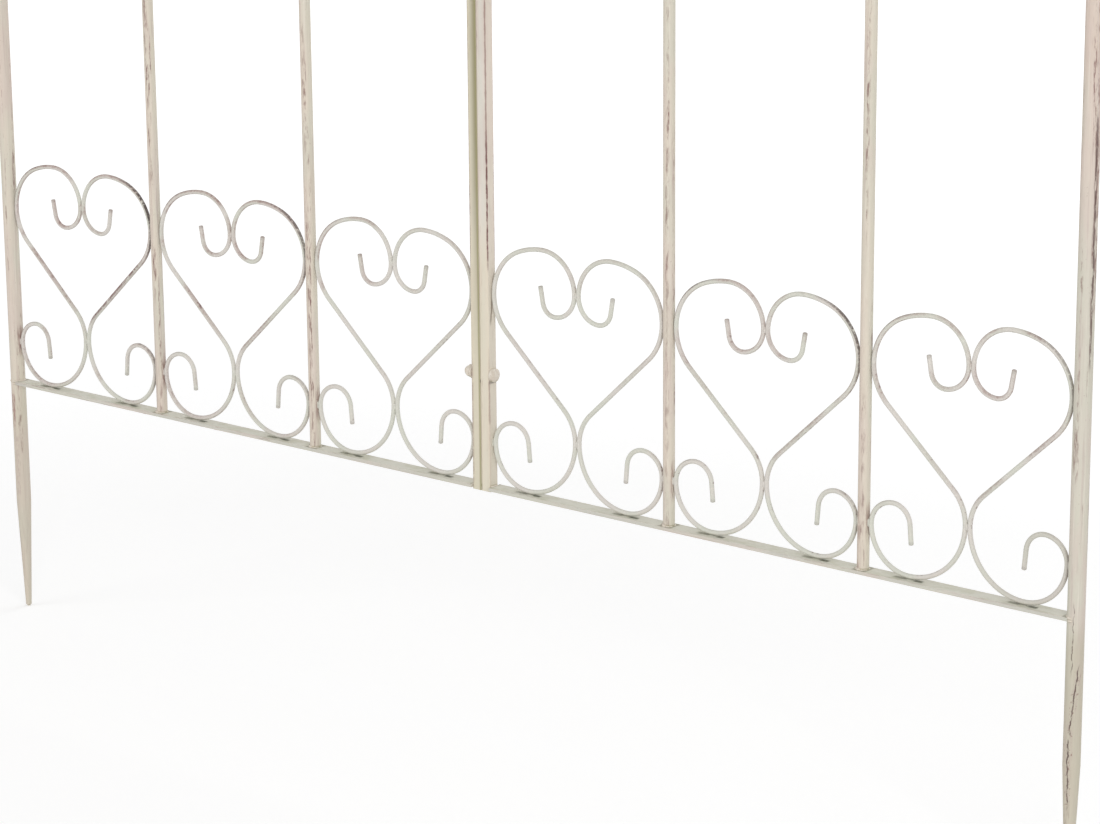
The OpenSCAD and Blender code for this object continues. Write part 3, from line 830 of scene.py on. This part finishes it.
def add_bead(bm, path, radius, seed, lump=0.25):
    """One weld bead: a lumpy closed tube along a path of points, with rounded ends."""
    count = len(path)
    rings = []
    for k, point in enumerate(path):
        ahead = path[min(k + 1, count - 1)] - path[max(k - 1, 0)]
        ahead.normalize()
        side = ahead.orthogonal().normalized()
        other = ahead.cross(side)
        share = k / (count - 1)
        swell = math.sqrt(max(0.0, 1 - (2 * share - 1) ** 6)) * 0.97 + 0.03
        ring = []
        for s in range(BEAD_SIDES):
            turn = math.tau * s / BEAD_SIDES
            out = side * math.cos(turn) + other * math.sin(turn)
            uneven = 1 + lump * lumpy(point + out * radius, seed, LUMP_SIZE)
            at = point + out * (radius * swell * uneven)
            # No bead stands out past the rail's two edges
            at.y = max(-RAIL_HALF, min(RAIL_HALF, at.y))
            ring.append(bm.verts.new(at))
        rings.append(ring)
    for ring, following in zip(rings, rings[1:]):
        for s in range(BEAD_SIDES):
            beside = (s + 1) % BEAD_SIDES
            bm.faces.new((ring[s], ring[beside], following[beside], following[s]))
    bm.faces.new(list(reversed(rings[0])))
    bm.faces.new(rings[-1])


def to_mesh(bm, name):
    bmesh.ops.recalc_face_normals(bm, faces=bm.faces)
    for face in bm.faces:
        face.smooth = True
    mesh = bpy.data.meshes.new(name)
    bm.to_mesh(mesh)
    bm.free()
    return mesh


def arc(x, z, radius, start, end, steps, wobble, seed):
    """Points round an upright axis at y = 0, from one angle to another in degrees."""
    points = []
    for k in range(steps + 1):
        turn = math.radians(start + (end - start) * k / steps)
        place = (math.cos(turn) * 8 * MM, math.sin(turn) * 8 * MM, 0)
        r = radius + wobble * lumpy(place, seed, 5 * MM)
        points.append(Vector((x + r * math.cos(turn), r * math.sin(turn), z)))
    return points


def contact_places():
    """Where each scroll wire touches its twin, its upright and the rail, read from the solids."""
    tolerance = 0.02 * MM
    places = []
    for heart in range(1, 7):
        for side in ("left", "right"):
            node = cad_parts[f"heart_{heart}_{side}_scroll"]
            points = [v.co for v in node.data.vertices]
            low_x = min(c.x for c in points)
            high_x = max(c.x for c in points)
            inner_x, outer_x = (low_x, high_x) if side == "right" else (high_x, low_x)
            inner = [c.z for c in points if abs(c.x - inner_x) < tolerance]
            outer = [c.z for c in points if abs(c.x - outer_x) < tolerance]
            foot = min(points, key=lambda c: c.z)
            places.append({
                "heart": heart, "side": side, "inner_x": inner_x, "outer_x": outer_x,
                "foot_x": foot.x,
                "inner_z": (min(inner), max(inner)),
                "outer_z": (min(outer), max(outer)),
            })
    return places


CONTACTS = contact_places()
HEART_X = {left["heart"]: (left["inner_x"] + right["inner_x"]) / 2
           for left, right in zip(CONTACTS[::2], CONTACTS[1::2])}
FOOT_OFFSET = abs(CONTACTS[-1]["foot_x"] - HEART_X[6])

TUBE = round_tube_paint("tube_paint_round")
ARCH = round_tube_paint("tube_paint_arch", arch=True)
SQUARE = centre_tube_paint("tube_paint_square")
RAIL = rail_paint("rail_paint_flat")
WIRE = wire_paint("wire_paint_scroll")
WELD = weld_paint("weld_paint_bead")

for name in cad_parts:
    if name.endswith("side_tube"):
        wear_material(name, ARCH)
    elif name.endswith("centre_tube"):
        wear_material(name, SQUARE)
    elif name.endswith("rail"):
        wear_material(name, RAIL)
    elif name.endswith("scroll"):
        wear_material(name, WIRE)
    elif name.startswith(("joining_bolt", "washer", "cap_nut")):
        wear_material(name, WELD)
    else:
        wear_material(name, TUBE)


def bar_welds():
    """A thin uneven fillet round the foot and head of each bar, with a lump at the front left."""
    bm = bmesh.new()
    for k, (low, high) in enumerate(BARS):
        x = (low.x + high.x) / 2
        for level, (z, up) in enumerate(((low.z, 1), (high.z, -1))):
            seed = 3 * k + level
            for half, (start, end) in enumerate(BAR_HALVES):
                path = arc(x, z, BAR_R - 0.1 * MM, start, end, BAR_STEPS, 0.4 * MM, seed + 40 * half)
                add_bead(bm, path, BAR_BEAD_R, seed + 60 * half, lump=0.5)
            path = arc(x, z + 0.2 * MM * up, BAR_R - 0.2 * MM, *DROP_TURN, DROP_STEPS, 0.5 * MM,
                       seed + 20)
            add_bead(bm, path, BAR_DROP_R, seed + 80, lump=0.45)
    return to_mesh(bm, "bar_welds")


def arch_underside(x, y):
    """Height of the lower surface of the arch tube over a point between the shoulders."""
    ring = CROWN_R - math.sqrt(LEG_R ** 2 - y ** 2)
    return CROWN_Z + math.sqrt(ring ** 2 - (abs(x) - CROWN_X) ** 2)


def top_bar_welds(bm, seed):
    """Beads round the foot and head of each top bar. The result is the last seed."""
    for low, high in TOP_BARS:
        x = (low.x + high.x) / 2
        for start, end in BAR_HALVES:
            seed += 7
            foot = arc(x, low.z, BAR_R - 0.1 * MM, start, end, BAR_STEPS, 0.4 * MM, seed)
            add_bead(bm, foot, BAR_BEAD_R, seed, lump=0.5)
            head = arc(x, 0, BAR_R + 0.1 * MM, start, end, BAR_STEPS, 0.3 * MM, seed + 3)
            for point in head:
                point.z = arch_underside(point.x, min(abs(point.y), LEG_R - 0.5 * MM))
            add_bead(bm, head, ARCH_BEAD_R, seed + 3, lump=0.35)
    return seed


def arch_welds():
    """Beads where the top bars and the centre tubes meet the arch, and round the top bars' feet."""
    bm = bmesh.new()
    seed = top_bar_welds(bm, ARCH_SEED)
    for face in (-1, 1):
        for side in (-1, 1):
            seed += 5
            path = []
            for k in range(ARCH_STEPS + 1):
                x = side * (POST_LOW.x + (POST_HIGH.x - POST_LOW.x) * k / ARCH_STEPS)
                path.append(Vector((x, face * POST_HALF, arch_underside(x, POST_HALF))))
            add_bead(bm, path, ARCH_BEAD_R, seed, lump=0.35)
    return to_mesh(bm, "arch_welds")


def upright_path(x, y, z, steps):
    return [Vector((x, y, z + step * MM)) for step in steps]


def scroll_welds():
    """Small beads that hold each wire to its twin, to the upright beside it and to the rail."""
    bm = bmesh.new()
    seed = SCROLL_SEED
    for place in CONTACTS:
        seed += 9
        sign = 1 if place["side"] == "right" else -1
        # The right wire's turn makes the beads that the two wires share
        twin_heights = place["inner_z"] if sign == 1 else ()
        for z in twin_heights:
            for face in (-1, 1):
                path = upright_path(HEART_X[place["heart"]], face * 1.0 * MM, z, TWIN_STEPS)
                add_bead(bm, path, TWIN_BEAD_R, seed + face)
        for z in place["outer_z"]:
            x = place["outer_x"] + sign * 0.15 * MM
            for face in (-1, 1):
                path = upright_path(x, face * 0.9 * MM, z, SIDE_STEPS)
                add_bead(bm, path, SIDE_BEAD_R, seed + 3 + face)
        for face in (-1, 1):
            path = [Vector((place["foot_x"] + step * MM, face * 0.8 * MM, RAIL_TOP + 0.15 * MM))
                    for step in FOOT_STEPS]
            add_bead(bm, path, FOOT_BEAD_R, seed + 6 + face)
    return to_mesh(bm, "scroll_welds")


def rail_end_welds():
    """Smooth fillets where the flat rails meet the round side tubes."""
    bm = bmesh.new()
    for side in (-1, 1):
        for level, rail in enumerate((RAIL_MID, UPPER_RAIL_MID)):
            seed = RAIL_END_SEED + 11 * level + side
            middle = 180 if side == 1 else 0
            for edge in (-1, 1):
                z = rail + edge * 1.1 * MM
                # The weld of the left end of the lower rail runs on round the front of the leg
                run_on = 45 if side == -1 and level == 0 and edge == 1 else 0
                path = arc(side * LEG_X, z, LEG_R - 0.5 * MM, middle - 100 - run_on, middle + 100,
                           RAIL_END_STEPS, 0.25 * MM, seed + 2 * edge)
                add_bead(bm, path, RAIL_END_BEAD_R, seed + edge, lump=0.22)
    return to_mesh(bm, "rail_end_welds")


def centre_welds():
    """Beads where the flat rails butt against the square centre tubes."""
    bm = bmesh.new()
    for side in (-1, 1):
        for level, rail in enumerate((RAIL_MID, UPPER_RAIL_MID)):
            seed = CENTRE_SEED + 13 * level + side
            x = side * (POST_HIGH.x + 0.1 * MM)
            for edge in (-1, 1):
                z = rail + edge * 1.3 * MM
                path = []
                for k in range(CENTRE_STEPS + 1):
                    uneven = 0.2 * MM * lumpy((0, k * MM, z), seed, 4 * MM)
                    y = -POST_HALF + 2 * POST_HALF * k / CENTRE_STEPS
                    path.append(Vector((x + uneven, y, z)))
                add_bead(bm, path, CENTRE_BEAD_R, seed + edge)
    return to_mesh(bm, "centre_welds")


new_piece("bar_welds", bar_welds(), WELD)
new_piece("arch_welds", arch_welds(), WELD)
new_piece("scroll_welds", scroll_welds(), WIRE)
new_piece("rail_end_welds", rail_end_welds(), WELD)
new_piece("centre_welds", centre_welds(), WELD)


def make_camera():
    data = bpy.data.cameras.new("photo_camera")
    data.sensor_fit = "HORIZONTAL"
    data.sensor_width = SENSOR_WIDTH
    data.lens = CAMERA_LENS
    data.clip_end = 100
    camera = bpy.data.objects.new("photo_camera", data)
    turn = Matrix.Rotation(math.radians(CAMERA_TURN), 4, "Z")
    tilt = Matrix.Rotation(math.radians(90 - CAMERA_DOWN), 4, "X")
    roll = Matrix.Rotation(math.radians(CAMERA_ROLL), 4, "Z")
    camera.matrix_world = Matrix.Translation(CAMERA_PLACE) @ turn @ tilt @ roll
    bpy.context.scene.collection.objects.link(camera)
    bpy.context.scene.camera = camera


def make_lamp(name, place, aim, size, power):
    data = bpy.data.lights.new(name, "AREA")
    data.shape = "RECTANGLE"
    data.size, data.size_y = size
    data.energy = power
    lamp = bpy.data.objects.new(name, data)
    lamp.location = place
    lamp.rotation_euler = (Vector(aim) - Vector(place)).to_track_quat("-Z", "Y").to_euler()
    bpy.context.scene.collection.objects.link(lamp)


def background_rays(nodes, links):
    """1 for the rays that show the background: from the camera, off gloss and through glass."""
    path = nodes.new("ShaderNodeLightPath")
    seen = path.outputs["Is Camera Ray"]
    for ray in ("Is Glossy Ray", "Is Transmission Ray"):
        larger = nodes.new("ShaderNodeMath")
        larger.operation = "MAXIMUM"
        links.new(seen, larger.inputs[0])
        links.new(path.outputs[ray], larger.inputs[1])
        seen = larger.outputs[0]
    return seen


def sky_light(nodes, strength):
    made = nodes.new("ShaderNodeBackground")
    made.inputs["Color"].default_value = (1, 1, 1, 1)
    made.inputs["Strength"].default_value = strength
    return made.outputs[0]


def make_world():
    """Soft even light, and white where the camera looks past the floor."""
    world = bpy.data.worlds.new("studio")
    bpy.context.scene.world = world
    world.use_nodes = True
    nodes, links = world.node_tree.nodes, world.node_tree.links
    nodes.clear()
    mix = nodes.new("ShaderNodeMixShader")
    links.new(background_rays(nodes, links), mix.inputs[0])
    links.new(sky_light(nodes, SOFT_LIGHT), mix.inputs[1])
    links.new(sky_light(nodes, WHITE_LIGHT), mix.inputs[2])
    out = nodes.new("ShaderNodeOutputWorld")
    links.new(mix.outputs[0], out.inputs[0])


def floor_glow(nodes, links):
    """A glow that only the background's rays see, and that grows with the distance."""
    place = nodes.new("ShaderNodeTexCoord")
    outward = nodes.new("ShaderNodeVectorMath")
    outward.operation = "LENGTH"
    links.new(place.outputs["Object"], outward.inputs[0])
    spread = nodes.new("ShaderNodeMapRange")
    sockets = ("From Min", "From Max", "To Min", "To Max")
    for socket, value in zip(sockets, FLOOR_GLOW_REACH + FLOOR_GLOW):
        spread.inputs[socket].default_value = value
    links.new(outward.outputs["Value"], spread.inputs["Value"])
    lift = nodes.new("ShaderNodeMath")
    lift.operation = "MULTIPLY"
    links.new(background_rays(nodes, links), lift.inputs[0])
    links.new(spread.outputs["Result"], lift.inputs[1])
    glow = nodes.new("ShaderNodeEmission")
    links.new(lift.outputs[0], glow.inputs["Strength"])
    return glow.outputs[0]


def floor_material():
    mat = bpy.data.materials.new("studio_floor_white")
    mat.use_nodes = True
    nodes, links = mat.node_tree.nodes, mat.node_tree.links
    nodes.clear()
    matt = nodes.new("ShaderNodeBsdfDiffuse")
    matt.inputs["Color"].default_value = FLOOR_COLOUR
    add = nodes.new("ShaderNodeAddShader")
    links.new(matt.outputs[0], add.inputs[0])
    links.new(floor_glow(nodes, links), add.inputs[1])
    out = nodes.new("ShaderNodeOutputMaterial")
    links.new(add.outputs[0], out.inputs[0])
    return mat


def make_floor():
    """Plain white studio floor under the spike tips."""
    bm = bmesh.new()
    bmesh.ops.create_grid(bm, x_segments=1, y_segments=1, size=FLOOR_HALF)
    mesh = bpy.data.meshes.new("studio_floor")
    bm.to_mesh(mesh)
    bm.free()
    floor = bpy.data.objects.new("studio_floor", mesh)
    bpy.context.scene.collection.objects.link(floor)
    floor.data.materials.append(floor_material())


make_camera()
make_world()
make_floor()
for lamp_settings in LAMPS:
    make_lamp(*lamp_settings)

scene = bpy.context.scene
scene.view_settings.view_transform = "Standard"
